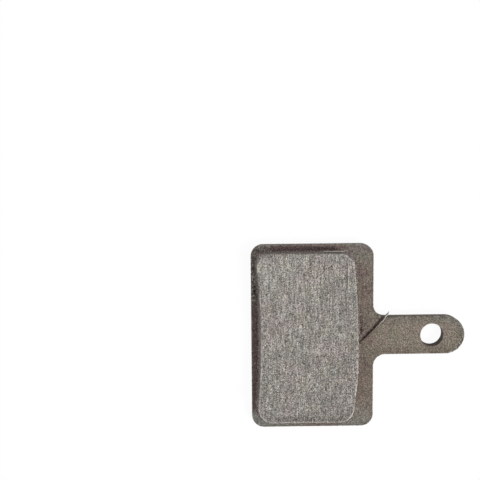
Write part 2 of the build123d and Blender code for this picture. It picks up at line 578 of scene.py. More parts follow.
def plate_rims():
    """Rims of the outline, the pin hole and the key holes.

    The outline's is nicked on the tab's lower end and half bare on the body's top wall. The pin hole's leans,
    by more the nearer it is to the back.
    """
    path = plate_path(RIM_STEP)
    count = len(path)
    x, y = path.T
    scuffed = rise(x - y, 3.5 * MM, 6.0 * MM)
    nicks = scuffed * rise(path_noise(count, 4.0, 41)[:, 0], 0.3, 1.6)
    bare = rise(y, HALF_HEIGHT - 0.3 * MM, HALF_HEIGHT) * (0.25 + 0.75 * rise(x, -23 * MM, -18 * MM))
    paint = np.clip(0.35 - 0.3 * bare + 0.1 * path_noise(count, 60.0, 42)[:, 0], 0, 1)
    tearing = OUTLINE_TEARING * (1 + 1.5 * scuffed)
    rims = [rim(path, FRONT_BREAK * (1 + nicks), plate_roll(path), tearing, paint, grime=0.25, bare=bare)]
    for (centre, radius), front_break in zip(HOLES, (PIN_BREAK, KEY_BREAK, KEY_BREAK)):
        circle = arc_points(centre, radius, 0, -360, RIM_STEP)
        rims.append(rim(circle, front_break, HOLE_ROLL, HOLE_TEARING, paint=0.12, grime=0.72, bare=0.0))
    pin_points = rims[1][0][:, :-1]
    depth = 1 - np.clip(pin_points[..., 2:], 0, FRONT_Z) / FRONT_Z
    pin_points[..., :2] += PIN_LEAN * depth
    return rims


def backing_plate():
    """The plate: its rims and the two flats between them."""
    rims = plate_rims()
    front = plate_flat([points[:, 0, :2] for points, _, _ in rims], True)
    back = plate_flat([points[:, -1, :2] for points, _, _ in rims], False)
    return make_piece("plate_painted", rims + [front, back], "backing_plate")


# Friction lining

def lining_side(y, inset, middle_x, arc, way):
    """X of a long side of the friction face at height y: an arc centred on the X axis, with round ends.

    way is 1 for the near side and -1 for the far one. The face is drawn in by inset all round.
    """
    corner = FACE_CORNER - inset
    corner_y = FACE_HALF - FACE_CORNER
    centre_x = middle_x - arc
    radius = arc - way * inset
    turned_radius = radius - way * corner
    turned_x = centre_x + np.sqrt(turned_radius**2 - corner_y**2)
    reach = np.sqrt(np.maximum(corner**2 - np.maximum(abs(y) - corner_y, 0) ** 2, 0))
    turns = abs(y) > corner_y * radius / turned_radius
    return np.where(turns, turned_x + way * reach, centre_x + np.sqrt(radius**2 - y**2))


def lining_sides(y, inset):
    """X of the friction face's far and near sides at height y."""
    return lining_side(y, inset, FACE_FAR_X, FAR_ARC, -1), lining_side(y, inset, FACE_NEAR_X, NEAR_ARC, 1)


CORNER_ROWS = 28


def face_grid():
    """Friction face as rows along Y and columns from the far to the near side, closer in the corners."""
    corner = FACE_CORNER - FACE_BREAK
    corner_y = FACE_HALF - FACE_CORNER
    end = corner_y + corner * np.sin(np.radians(np.linspace(0, 90, CORNER_ROWS)))
    middle = np.arange(-corner_y, corner_y, FACE_STEP)[1:]
    y = np.concatenate((-end[::-1], middle, end))[:, None]
    far, near = lining_sides(y, FACE_BREAK)
    across = np.linspace(0, 1, int((FACE_NEAR_X - FACE_FAR_X) / FACE_STEP))
    x = far + (near - far) * across
    return x, np.broadcast_to(y, x.shape)


# Relief of the face
STREAK_HEIGHT = 0.003 * MM
GRAIN_HEIGHT = 0.006 * MM
PORE_DEPTH = 0.06 * MM
CHIP_DEPTH = 0.05 * MM
SCRATCH_X = -13.64 * MM
SCRATCH_Y = (7.4 * MM, 12.2 * MM)
SCRATCH_HALF = 0.1 * MM
SCRATCH_DEPTH = 0.03 * MM
SCRATCH_BURR = 0.16 * MM  # how far towards the tab a pale ridge lies beside it

# Wear of the edge, and how far it lies off its outline
EDGE_ROUGH = 0.03 * MM
WORN_Y = (10.2 * MM, 12.4 * MM)  # stretch of the far side where the edge is worn to a wide bevel
WORN_WIDTH = 0.6 * MM
WORN_DROP = 0.12 * MM
WORN_BULGE = 0.05 * MM  # how far the wall stands out below that bevel
CORNER_OUT = 0.66 * MM  # how far the upper far corner slopes out, and how far it falls
CORNER_DROP = 0.5 * MM
TOP_LIFT = 0.05 * MM  # how far the top edge stands out
BOTTOM_DROP = 0.07 * MM  # how far the bottom edge stands back
SHOULDER_OUT = 0.1 * MM  # how far the upper near corner stands out where it meets the near side
SIDE_WAVES = [  # middle, half length and swing of each wave of the near side
    (-10.5 * MM, 2.5 * MM, -0.07 * MM),
    (-5.8 * MM, 2.2 * MM, 0.08 * MM),
    (4.0 * MM, 6.0 * MM, -0.14 * MM),
]
PALE_EDGE = np.array([0.42, 0.7, 0.7, 0.5, 0.15])  # from the face over the break and down the wall
PALE_BEVEL = np.array([0.15, 0.15, 0.2, 0.2, 0.0])  # the same where the edge is worn to a wide bevel


def worn_stretch(y):
    """1 along the worn stretch of the far side, fading out at its ends."""
    return band(y, WORN_Y[0], WORN_Y[0] + 0.5 * MM, WORN_Y[1] - 0.8 * MM, WORN_Y[1])


def edge_wear_and_highlight(x, y):
    """How pale the face's edge is: worn in patches, and painted highlight most on the near side and low down.
    """
    near = rise(x, -15.5 * MM, -13.5 * MM)
    low = rise(-y, -1.5 * MM, 1.5 * MM)
    bottom = rise(-y, 10 * MM, 12.5 * MM)
    lower_near = rise(x - y, -2.2 * MM, -1.0 * MM)
    patchy = rise(plane_noise(x, y, 1.2 * MM, 56), -1.8, 0.4)
    return np.clip(0.08 + 0.55 * low + 0.65 * near + 0.4 * bottom, 0, 0.88) * patchy + 0.25 * lower_near


def face_tone(x, y):
    """How light the face is: near 1, less towards the lower near corner and along the bottom edge.

    The far edge is lighter in its upper part and darker in its lower part. The far part of the top edge and
    the upper far corner are darker.
    """
    lean = (x - (FACE_NEAR_X + FACE_FAR_X) / 2 - y) / (2 * FACE_HALF)
    clouds = plane_noise(x, y, 3.5 * MM, 55)
    from_far = x - lining_sides(y, FACE_BREAK)[0]
    upper = band(y, 3 * MM, 8 * MM, 9.5 * MM, 11 * MM)
    lower = band(-y, 0.0, 3 * MM, 10 * MM, 11 * MM)
    far_edge = fall(from_far, 0.3 * MM, 1.5 * MM) * (0.1 * upper - 0.11 * lower)
    top_far = rise(y, FACE_HALF - MM, FACE_HALF - 0.3 * MM) * rise(-x, 19 * MM, 22.5 * MM)
    far_corner = rise(y - x, 36.5 * MM, 39.5 * MM)
    bottom = fall(y + FACE_HALF, 0.4 * MM, 2.4 * MM) * (1 + 0.3 * clouds)
    # lean is painted light: the face is made lighter towards the upper far corner and darker towards the
    # lower near one
    even = 1.05 - 0.13 * lean + 0.025 * clouds
    return even + far_edge - 0.14 * top_far - 0.1 * far_corner - 0.18 * bottom


def edge_margin(x, y):
    """How far a place lies inside the face's edge: square to each long side, or straight to an end."""
    far, near = lining_sides(y, FACE_BREAK)
    lean_far, lean_near = (np.hypot(1, np.gradient(side[:, 0], y[:, 0]))[:, None] for side in (far, near))
    sides = np.minimum((x - far) / lean_far, (near - x) / lean_near)
    return np.minimum(sides, FACE_HALF - FACE_BREAK - abs(y))


def face_relief(x, y):
    """Height of the ground face, and how dark and how pale its marks are.

    It has streaks along Y, grains, pores, most along the bottom edge, one scratch with a burr beside it, and
    a wide bevel on one stretch of the far edge, with a dark line where it starts.
    """
    streaks = plane_noise(x, y, 0.25 * MM, 52, 10.0)
    grains = plane_noise(x, y, 0.35 * MM, 53)
    clumps = plane_noise(x, y, 0.7 * MM, 54)
    crumbled = band(y + FACE_HALF, 0.2 * MM, 0.4 * MM, 0.6 * MM, 1.2 * MM)
    crumbs = crumbled * rise(plane_noise(x, y, 0.5 * MM, 57), 0.3, 1.4)
    pores = np.maximum(rise(clumps + 0.6 * grains, 1.2, 2.5), crumbs)
    scratched = band(y, SCRATCH_Y[0], SCRATCH_Y[0] + MM, SCRATCH_Y[1] - MM, SCRATCH_Y[1])
    scratch = scratched * bell(x, SCRATCH_X, SCRATCH_HALF)
    burr = scratched * bell(x, SCRATCH_X + SCRATCH_BURR, SCRATCH_HALF)
    from_far = x - lining_sides(y, FACE_BREAK)[0]
    worn = worn_stretch(y) * fall(from_far, 0.4 * WORN_WIDTH, WORN_WIDTH)
    groove = worn_stretch(y) * bell(from_far, WORN_WIDTH, SCRATCH_HALF)
    height = STREAK_HEIGHT * streaks + GRAIN_HEIGHT * grains - PORE_DEPTH * pores - SCRATCH_DEPTH * scratch
    height = height * (1 - worn) - WORN_DROP * worn
    dark = np.maximum(pores, np.maximum(1.5 * scratch, 0.6 * groove))
    return height, dark, np.maximum(0.15 * worn, 0.4 * burr)


# What a sheet of the lining carries for its finish, where nothing else is said
PLAIN_LINING = {"pore_and_shade": 0.0, "pale": 0.0, "wall": 1.0, "foot": 0.0, "key": 0.0, "tone": 1.0}

# The moulded side's grid: columns from the face's edge to the underside
BREAK_STEPS = 3
WALL_STEPS = 14
COVE_STEPS = 8
FOOT_STEPS = 3
PEBBLE_HEIGHT = 0.012 * MM
COVE_WIDTH = 0.3 * MM
COVE_HEIGHT = 0.5 * MM
LIP_HEIGHT = 0.03 * MM
LIP_SLOPE = 0.04 * MM  # how far the lip's outer flank runs out as it falls
RIDGE_HEIGHT = 0.16 * MM
RIDGE_WIDTH = 0.1 * MM
RIDGE_HOOK = 0.14 * MM  # how far its near end bends out


def facing(share):
    """1 on a straight side that looks the way whose share of the normal is given, and 0 on the others."""
    return rise(share, 0.85, 0.98)


def border_places(border):
    """Columns, with a row for each point of the face's border, that say which part of the lining it is on."""
    normal = outward(border)
    x, y, out_x, out_y = border[:, :1], border[:, 1:], normal[:, :1], normal[:, 1:]
    slant = 1 / np.maximum(abs(out_x), abs(out_y)) - 1
    on_ridge = rise(y, FACE_HALF - 0.4 * MM, FACE_HALF - 0.2 * MM)
    return SimpleNamespace(
        count=len(border), x=x, y=y, out_x=out_x, out_y=out_y,
        near=facing(out_x), far=facing(-out_x), top=facing(out_y), bottom=facing(-out_y),
        corner=abs(2 * out_x * out_y),  # 1 where it looks diagonally out
        slope=slant / (np.sqrt(2) - 1) * (out_x < 0) * (out_y > 0),  # 1 in the middle of the upper far corner
        wear_and_highlight=edge_wear_and_highlight(x, y),
        worn=worn_stretch(y) * rise(-out_x, 0.4, 0.9),
        ridge=on_ridge * band(x, RIDGE_X[0], RIDGE_X[0] + 0.4 * MM, RIDGE_X[1] - 0.1 * MM, RIDGE_X[1]),
    )


def edge_shift(at):
    """How far the face's edge lies off its outline.

    It stands out at the top and on the upper near corner's shoulder, stands back at the bottom, is wavy on
    the near side, and is rough where it is worn, less so low down.
    """
    shift = TOP_LIFT * at.top - BOTTOM_DROP * at.bottom
    shift = shift + SHOULDER_OUT * bell(at.out_y, 0.4, 0.14) * (at.out_x > 0)
    for middle, half, swing in SIDE_WAVES:
        shift = shift + swing * bell(at.y, middle, half) * at.near
    rough = EDGE_ROUGH * (0.4 + at.wear_and_highlight) * (1 - 0.6 * rise(-at.y, 4 * MM, 8 * MM))
    return rough * path_noise(at.count, 8.0, 66) + shift


def lip_height(at):
    """Height of the flash at the wall's foot: a low uneven lip, and a ridge on one stretch of the top."""
    lip = rise(path_noise(at.count, 30.0, 62), -0.6, 1.5)
    return LIP_HEIGHT * lip + RIDGE_HEIGHT * at.ridge * (1 + 0.12 * path_noise(at.count, 14.0, 63))


def cove_reach(at):
    """How far the cove runs out on the plate: most on corners, least at the top, the slope and the ridge."""
    reach = COVE_WIDTH * (1 + at.corner - 0.5 * at.top + 0.12 * path_noise(at.count, 25.0, 67))
    reach = reach * (1 - 0.8 * at.ridge) * (1 - 0.7 * at.slope)
    hooked = rise(at.x, RIDGE_X[1] - 0.5 * MM, RIDGE_X[1] - 0.1 * MM)
    return reach + RIDGE_HOOK * at.ridge * hooked


def wall_layers(at, turn):
    """Finish of the moulded side: pale on the worn edge and flash, dark at the foot, and painted light and
    shade.
    """
    shape = (at.count, BREAK_STEPS + WALL_STEPS + COVE_STEPS + FOOT_STEPS)
    edge = len(PALE_EDGE)
    lip = FOOT_STEPS + 1  # the foot's columns and the cove's last one
    flecks = path_noise(at.count, 14.0, 68)
    top_flecks = at.top * (1 - at.ridge) * rise(flecks, 0.3, 1.5)
    pale = np.zeros(shape)
    # The edge is pale where worn, and its painted highlight is strongest where it faces the lamp
    pale[:, :edge] = PALE_EDGE * at.wear_and_highlight + PALE_BEVEL * at.worn
    # Painted light: the far wall faces away from the lamp and is made paler about the middle of its length
    pale[:, edge:-lip] = 0.14 * at.far * bell(at.y, MM, 4.5 * MM)
    pale[:, -lip:-1] = 1.6 * at.ridge * rise(flecks, -3.0, -0.6) + 0.4 * top_flecks
    wall = np.ones(shape)
    wall[:, :BREAK_STEPS] = [0.0, 0.0, 0.3]
    foot = np.ones(shape)
    foot[:, : BREAK_STEPS + WALL_STEPS] = 0
    foot[:, BREAK_STEPS + WALL_STEPS : -FOOT_STEPS] = rise(turn, 0.3, 1.4)
    # Painted shade: the top side's wall, most behind the ridge, is made darker
    pore_and_shade = 0.4 * (at.top + at.ridge) * wall * (1 - foot)
    return {**PLAIN_LINING, "pore_and_shade": pore_and_shade, "pale": pale, "wall": wall, "foot": foot * (1 - 0.6 * at.top)}


def lining_wall(border, edge_z):
    """Moulded side: a profile carried along the face's border, over its break, down the draft, out in a cove.

    The break is wider where the edge is worn, and on the upper far corner it is a slope down to a squarer
    wall. The cove runs out on the plate in a thin lip of flash.
    """
    at = border_places(border)
    flat = np.zeros((at.count, 1))
    edge_z = edge_z[:, None]
    bevel = FACE_BREAK * np.clip(0.35 + 0.45 * at.wear_and_highlight + 0.12 * path_noise(at.count, 9.0, 61), 0.2, 0.95)
    shift = edge_shift(at)
    spread = CORNER_OUT * at.slope + WORN_BULGE * at.worn
    drop = CORNER_DROP * at.slope
    down = np.linspace(0, 1, WALL_STEPS)
    wall_top = edge_z - bevel - drop
    wall_z = wall_top - (wall_top - FRONT_Z - COVE_HEIGHT) * down
    pebble = PEBBLE_HEIGHT * cell_noise((at.count, WALL_STEPS), 4.0, 64) * np.sin(np.pi * down)
    drafted = FACE_BREAK + (FACE_Z - wall_z) * DRAFT * (1 - 0.6 * at.ridge)
    wall_out = drafted + pebble + shift * (1 - down) + spread
    turn = np.linspace(0, np.pi / 2, COVE_STEPS + 1)[1:]
    lip = lip_height(at)
    cove_out = wall_out[:, -1:] + cove_reach(at) * (1 - np.cos(turn))
    cove_z = FRONT_Z + COVE_HEIGHT * (1 - np.sin(turn)) + lip * rise(turn, 1.0, 1.4)
    lip_out = cove_out[:, -1:] + RIDGE_WIDTH * at.ridge
    sunk_z = flat + FRONT_Z - SUNK
    out = np.hstack((
        flat, FACE_BREAK - bevel + shift, FACE_BREAK - 0.45 * bevel + shift + 0.5 * spread, wall_out,
        cove_out, lip_out, lip_out + LIP_SLOPE, flat,
    ))
    level = np.hstack((
        edge_z, edge_z, edge_z - 0.35 * bevel - 0.45 * drop, wall_z,
        cove_z, FRONT_Z + 0.8 * lip, sunk_z, sunk_z,
    ))
    return carry(border, out, level), quads(*out.shape), wall_layers(at, turn)


# The key plugs
KEY_RECESS = 0.1 * MM  # flat end below the plate's back
KEY_SHOULDER = 0.8 * MM
KEY_DROP = 0.25 * MM
KEY_LUMPS = 0.02 * MM
KEY_TIP = 0.05 * MM  # radius of the small round in the middle, which a fan closes
KEY_STEPS = 120  # round the axis
KEY_SHOULDER_STEPS = 8
KEY_END_STEPS = 14


def key_plug(place):
    """Plug in a key hole: a profile turned about the hole's axis, from its foot to a low dome."""
    flat_r = KEY_RADIUS - KEY_SHOULDER
    bend = (KEY_SHOULDER**2 + KEY_DROP**2) / (2 * KEY_DROP)
    wall_z = [FRONT_Z - SUNK, 0.5 * FRONT_Z]
    radius = np.concatenate((
        np.full(len(wall_z), KEY_RADIUS),
        np.linspace(KEY_RADIUS, flat_r, KEY_SHOULDER_STEPS),
        np.linspace(flat_r, KEY_TIP, KEY_END_STEPS)[1:],
    ))
    level = KEY_RECESS + bend - np.sqrt(bend**2 - np.maximum(radius - flat_r, 0) ** 2)
    level[: len(wall_z)] = wall_z
    turn = np.linspace(0, 2 * np.pi, KEY_STEPS, endpoint=False)[:, None]
    x = place[0] + radius * np.cos(turn)
    y = place[1] + radius * np.sin(turn)
    lumps = KEY_LUMPS * plane_noise(x, y, 0.8 * MM, 71) * (radius < KEY_RADIUS - 0.05 * MM)
    # Less paint towards the middle lets the dome's middle show lighter: a painted reflection
    painted = 0.55 + 0.45 * rise(radius, 0.3 * KEY_RADIUS, 0.9 * KEY_RADIUS) + 0 * turn
    return np.stack((x, y, level + lumps), -1), quads(*x.shape), {**PLAIN_LINING, "key": painted}


def plug_tip(plug, place):
    """Fan that closes the small round left at the middle of a plug's dome."""
    ring = plug[0][:, -1]
    count = len(ring)
    corner = np.arange(count)
    fan = np.column_stack((corner, np.roll(corner, -1), np.full(count, count)))
    return np.vstack((ring, [[*place, ring[:, 2].mean()]])), fan, {**plug[2], "key": plug[2]["key"][0, -1]}


def lining_foot(ring, plugs):
    """Underside on the plate: a net from the wall's last ring to the rims of the two plugs."""
    rings = [ring[:, :2]] + [points[::-1, 0, :2] for points, _, _ in plugs]
    flat, triangles = fill(rings, np.empty((0, 2)))
    points = np.column_stack((flat, np.full(len(flat), FRONT_Z - SUNK)))
    return points, triangles, {**PLAIN_LINING, "foot": 1.0}


def friction_lining():
    """The lining: ground face, moulded side, underside and the two plugs, in one closed mesh.

    The face's outermost points are chipped.
    """
    x, y = face_grid()
    height, dark, pale = face_relief(x, y)
    at_edge = np.ones(x.shape, bool)
    at_edge[1:-1, 1:-1] = False
    chips = CHIP_DEPTH * rise(plane_noise(x, y, 0.6 * MM, 51), 0.3, 2.0)
    height = np.where(at_edge, np.minimum(height, 0) - chips, height)
    # The face's edge is pale where worn, and has painted highlight where it faces the lamp
    wear_and_highlight = PALE_EDGE[0] * fall(edge_margin(x, y), 0.0, 0.2 * MM) * edge_wear_and_highlight(x, y)
    face = np.stack((x, y, FACE_Z + height), -1)
    layers = {"pore_and_shade": np.where(at_edge, 0, dark), "pale": np.maximum(pale, wear_and_highlight), "wall": 0.0}
    layers = {**PLAIN_LINING, **layers, "tone": face_tone(x, y)}
    ring = np.vstack((face[0, :-1], face[:-1, -1], face[-1, :0:-1], face[:0:-1, 0]))
    wall = lining_wall(ring[:, :2], ring[:, 2])
    plugs = [key_plug(place) for place in KEY_PLACES]
    tips = [plug_tip(plug, place) for plug, place in zip(plugs, KEY_PLACES)]
    foot = lining_foot(wall[0][:, -1], plugs)
    sheets = [(face, quads(*x.shape, False), layers), wall, foot] + plugs + tips
    return make_piece("lining_moulded", sheets, "friction_lining")


# Burr
BURR_HEIGHT = (0.16 * MM, 0.72 * MM)  # at its two ends
BURR_FOOT = 0.025 * MM  # half thickness on the plate
BURR_CREST = 0.07 * MM  # half thickness of the rolled crest
BURR_SUNK = 0.12 * MM  # how far its foot reaches into the plate, below the score
BURR_HOOK = 0.26 * MM  # how far its end bends to the score's upper side
BURR_SWAY = 0.012 * MM
BURR_ROWS = 72

# The burr's profile, up one side and down the other
BURR_ACROSS = np.array((-1, -1, -1, -1, -0.6, 0, 0.6, 1, 1, 1, 1))
BURR_SWELL = np.array((0, 0, 0.6, 1, 1, 1, 1, 1, 0.6, 0, 0))
BURR_UP = np.array((0.0, 0.5, 0.72, 0.88, 0.97, 1.0, 0.97, 0.88, 0.72, 0.5, 0.0))


def tab_burr():
    """Thin upright fin along the score: a blade with a rolled crest, carried along a slightly bowed line.

    It grows from the lining to its full height past the tab's edge, where it bends over and ends in a point.
    """
    along = np.linspace(0, 1, BURR_ROWS)[:, None]
    sway = BURR_SWAY * path_noise(BURR_ROWS, 14.0, 81) - SCORE_BOW * np.sin(np.pi * along)
    middle = SCORE_START + SCORE_WAY * SCORE_LENGTH * along + SCORE_SIDE * (sway + BURR_HOOK * along**12)
    tip = fall(along, 0.9, 1.02)
    crest_z = BURR_HEIGHT[0] + (BURR_HEIGHT[1] - BURR_HEIGHT[0]) * along
    crest_z = crest_z * (1 + 0.09 * path_noise(BURR_ROWS, 7.0, 82))
    half = BURR_FOOT + (BURR_CREST - BURR_FOOT) * BURR_SWELL * rise(along, 0.3, 1.0)
    half = half * (0.25 + 0.75 * tip)
    x = middle[:, :1] + SCORE_SIDE[0] * BURR_ACROSS * half
    y = middle[:, 1:] + SCORE_SIDE[1] * BURR_ACROSS * half
    foot_z = -BURR_SUNK * tip + 0.7 * crest_z * (1 - tip)
    points = np.stack((x, y, FRONT_Z + foot_z + (crest_z - foot_z) * BURR_UP), -1)
    rows, columns = x.shape
    low = np.arange(rows - 1) * columns
    under = np.column_stack((low, low + columns, low + 2 * columns - 1, low + columns - 1))
    ends = np.array((0, rows - 1))[:, None] * columns + np.arange(columns)
    # The crest is pale bare metal; its paleness growing towards the high end is painted highlight
    layers = {"edge": rise(BURR_UP, 0.75, 0.95) * rise(along, 0.1, 0.9)}
    sheets = [(points, faces, layers) for faces in (quads(rows, columns, False), under, ends)]
    return make_piece("tab_burr", sheets)


# Finishes, with colours as linear red, green and blue
COMPOUND_WARM = (0.31, 0.278, 0.259, 1)
COMPOUND_COOL = (0.293, 0.28, 0.255, 1)
COMPOUND_OLIVE = (0.299, 0.281, 0.242, 1)
COMPOUND_SIDE = (0.245, 0.212, 0.194, 1)
COMPOUND_FOOT = (0.19, 0.156, 0.144, 1)
COMPOUND_PALE = (0.8, 0.745, 0.69)
PLUG_PAINT = (0.026, 0.022, 0.025, 1)
PLUG_DUST = (0.085, 0.08, 0.082, 1)
COAT_WARM = (0.222, 0.18, 0.148, 1)
COAT_OLIVE = (0.205, 0.181, 0.14, 1)
COAT_PLUM = (0.2, 0.146, 0.141, 1)
COAT_GREY = (0.195, 0.193, 0.168, 1)
SOOT_AND_SHADE = (0.05, 0.028, 0.02, 1)
SCUFF_DARK = (0.02, 0.018, 0.016, 1)
SCUFF_PALE = (0.6, 0.58, 0.55, 1)
BACK_PAINT = (0.016, 0.012, 0.015, 1)
BACK_DUST = (0.055, 0.049, 0.052, 1)
BACK_FLAKE = (0.25, 0.235, 0.24, 1)
BACK_HAIR = (0.4, 0.38, 0.38, 1)
WORN_STEEL = (0.42, 0.39, 0.35, 1)
BURR_BROWN = (0.16, 0.125, 0.095, 1)
BURR_BRIGHT = (0.8, 0.76, 0.7, 1)

# Turn, width and length of each kind of hairline on the back
HAIRLINES = [(0.75, 0.2 * MM, 11 * MM), (-0.9, 0.16 * MM, 6 * MM), (0.2, 0.12 * MM, 4 * MM)]


class Nodes:
    """A tree of shader nodes, with calls that add to it. They are given sockets or plain values."""

    def __init__(self, tree):
        self.tree = tree

    def give(self, socket, value):
        """Links a socket to a node's socket, or sets it to a plain value."""
        if isinstance(value, bpy.types.NodeSocket):
            self.tree.links.new(value, socket)
        else:
            socket.default_value = value

    def add(self, kind, inputs, **settings):
        """A node of that kind with its settings and inputs."""
        node = self.tree.nodes.new("ShaderNode" + kind)
        for key, value in settings.items():
            setattr(node, key, value)
        for key, value in inputs.items():
            self.give(node.inputs[key], value)
        return node


class Finish(Nodes):
    """A material of the part, with calls for what its finish is made of."""

    def __init__(self, name):
        self.material = bpy.data.materials.new(name)
        self.material.use_nodes = True
        super().__init__(self.material.node_tree)
        self.shader = self.tree.nodes["Principled BSDF"]
        self.place = self.add("TexCoord", {}).outputs["Object"]

    def attribute(self, name):
        """The mesh's own value of that name."""
        return self.add("Attribute", {}, attribute_name=name).outputs["Fac"]

    def stretched(self, wide, long, turn=0.0):
        """Object coordinates counted in grains that long along Y, turned by that angle, and that wide."""
        inputs = {"Vector": self.place, "Rotation": (0, 0, turn), "Scale": (wide, long, wide)}
        return self.add("Mapping", inputs, vector_type="TEXTURE").outputs[0]

    def noise(self, grain, detail=2.0, rough=0.5, place=None):
        """Noise with grains of that size, in metres or in the place's units."""
        inputs = {"Vector": place or self.place, "Scale": 1 / grain, "Detail": detail, "Roughness": rough}
        return self.add("TexNoise", inputs).outputs["Fac"]

    def specks(self, grain):
        """Noise with more and rougher detail."""
        return self.noise(grain, 3.0, 0.6)

    def cells(self, grain, place=None):
        """Two random values for each of many cells of that size, in metres or in the place's units."""
        inputs = {"Vector": place or self.place, "Scale": 1 / grain}
        colour = self.add("TexVoronoi", inputs).outputs["Color"]
        return self.add("SeparateColor", {"Color": colour}).outputs[:2]

    def range(self, value, low, high, to_low=0.0, to_high=1.0):
        """The value taken smoothly from one range to another, and held at its ends."""
        inputs = {"Value": value, "From Min": low, "From Max": high, "To Min": to_low, "To Max": to_high}
        return self.add("MapRange", inputs, interpolation_type="SMOOTHSTEP").outputs["Result"]

    def product(self, *values):
        """All the values multiplied."""
        total = values[0]
        for value in values[1:]:
            total = self.add("Math", {0: total, 1: value}, operation="MULTIPLY").outputs[0]
        return total

    def mix(self, share, first, second):
        """Two colours blended by a share. Their sockets go by number, as the node has several of a name."""
        return self.add("Mix", {0: share, 6: first, 7: second}, data_type="RGBA").outputs[2]

    def shade(self, colour, light):
        """A colour made lighter or darker by a factor."""
        return self.add("VectorMath", {0: colour, "Scale": light}, operation="SCALE").outputs[0]

    def bump(self, height, distance):
        """Fine relief from a height between 0 and 1, that many metres deep."""
        return self.add("Bump", {"Height": height, "Distance": distance}).outputs[0]

    def surface(self, **inputs):
        """The shader's own inputs, with spaces written as underscores. Gives back the material."""
        for key, value in inputs.items():
            self.give(self.shader.inputs[key.replace("_", " ")], value)
        return self.material


def friction_finish():
    """Ground friction compound: grey-beige with dark and pale grains, darker pores and a pale broken edge."""
    f = Finish("friction_compound")
    colour = f.mix(f.range(f.noise(4 * MM), 0.4, 0.6), COMPOUND_WARM, COMPOUND_COOL)
    colour = f.mix(f.range(f.noise(2.2 * MM), 0.45, 0.65, 0.0, 0.7), colour, COMPOUND_OLIVE)
    fine, dark = f.cells(0.09 * MM)
    finest, _ = f.cells(0.05 * MM)
    dash, _ = f.cells(1.0, f.stretched(0.1 * MM, 0.33 * MM))
    pit, _ = f.cells(0.2 * MM)
    streak = f.noise(1.0, 1.0, 0.5, f.stretched(0.18 * MM, 2.6 * MM))
    light = f.product(
        f.range(fine, 0.0, 0.75, 0.34, 1.38),
        f.range(finest, 0.0, 0.8, 0.22, 1.52),
        f.range(dash, 0.0, 1.0, 0.84, 1.16),
        f.range(streak, 0.3, 0.7, 0.74, 1.23),
        f.range(f.noise(0.6 * MM), 0.3, 0.7, 0.93, 1.07),
        f.range(f.noise(1.7 * MM), 0.3, 0.7, 0.91, 1.09),
        f.range(dark, 0.0, 0.14, 0.4, 1.0),
        f.range(pit, 0.0, 0.12, 0.48, 1.0),
    )
    # Darker in pores and marks, and with painted shade on the top wall; the tone carries painted light across
    # the face
    shadow = f.product(f.range(f.attribute("pore_and_shade"), 0.0, 1.5, 1.0, 0.4), f.attribute("tone"))
    face = f.shade(colour, f.product(light, shadow))
    chunk, _ = f.cells(0.17 * MM)
    side = f.mix(f.attribute("foot"), COMPOUND_SIDE, COMPOUND_FOOT)
    side = f.shade(side, f.product(light, shadow, f.range(chunk, 0.0, 1.0, 0.65, 1.35)))
    colour = f.mix(f.attribute("wall"), face, side)
    # Pale flash, worn bevel and burr, with painted highlight on the edge and painted light on the far wall
    chalk_and_light = f.product(f.attribute("pale"), f.range(f.specks(0.3 * MM), 0.35, 0.6, 0.45, 1.0))
    colour = f.mix(chalk_and_light, colour, f.shade(COMPOUND_PALE, f.range(fine, 0.0, 1.0, 0.75, 1.25)))
    paint = f.mix(f.range(f.specks(0.4 * MM), 0.35, 0.65), PLUG_PAINT, PLUG_DUST)
    colour = f.mix(f.attribute("key"), colour, paint)
    relief = f.bump(f.specks(0.12 * MM), 0.02 * MM)
    return f.surface(Base_Color=colour, Roughness=0.85, Specular_IOR_Level=0.25, Normal=relief)


def front_coat(f):
    """Colour of the front: thin brown-grey coat, grains, purple and grey parts, dark dirt and painted shade,
    specks.
    """
    coat = f.mix(f.range(f.specks(2.2 * MM), 0.4, 0.6), COAT_WARM, COAT_OLIVE)
    coat = f.mix(f.attribute("plum"), coat, COAT_PLUM)
    coat = f.mix(f.attribute("grey"), coat, COAT_GREY)
    small, speck = f.cells(0.095 * MM)
    finest, _ = f.cells(0.05 * MM)
    light = f.product(
        f.range(small, 0.0, 1.0, 0.48, 1.52),
        f.range(finest, 0.0, 1.0, 0.4, 1.6),
        f.range(f.specks(0.35 * MM), 0.3, 0.7, 0.9, 1.1),
        f.range(speck, 0.96, 0.99, 1.0, 1.7),
    )
    cake, _ = f.cells(0.2 * MM)
    # Dark dirt, with painted shade beside the ridge and in the score
    soot_and_shade = f.product(f.attribute("soot_and_shade"), f.range(cake, 0.0, 1.0, 0.35, 1.65))
    coat = f.mix(soot_and_shade, f.shade(coat, light), SOOT_AND_SHADE)
    chip, dent = f.cells(0.17 * MM)
    coat = f.mix(f.product(f.attribute("scuff"), f.range(dent, 0.6, 0.8)), coat, SCUFF_DARK)
    return f.mix(f.product(f.attribute("scuff"), f.range(chip, 0.82, 0.95)), coat, SCUFF_PALE)


def back_coat(f):
    """Colour of the plate's back: black paint with dust, flakes and hairlines."""
    coat = f.mix(f.range(f.noise(2.5 * MM, 5.0, 0.65), 0.42, 0.7), BACK_PAINT, BACK_DUST)
    flake, _ = f.cells(0.09 * MM)
    coat = f.mix(f.range(flake, 0.88, 0.98, 0.0, 0.3), coat, BACK_FLAKE)
    for turn, wide, long in HAIRLINES:
        hair = f.noise(1.0, 0.0, 0.5, f.stretched(wide, long, turn))
        coat = f.mix(f.range(hair, 0.83, 0.86, 0.0, 0.4), coat, BACK_HAIR)
    return coat


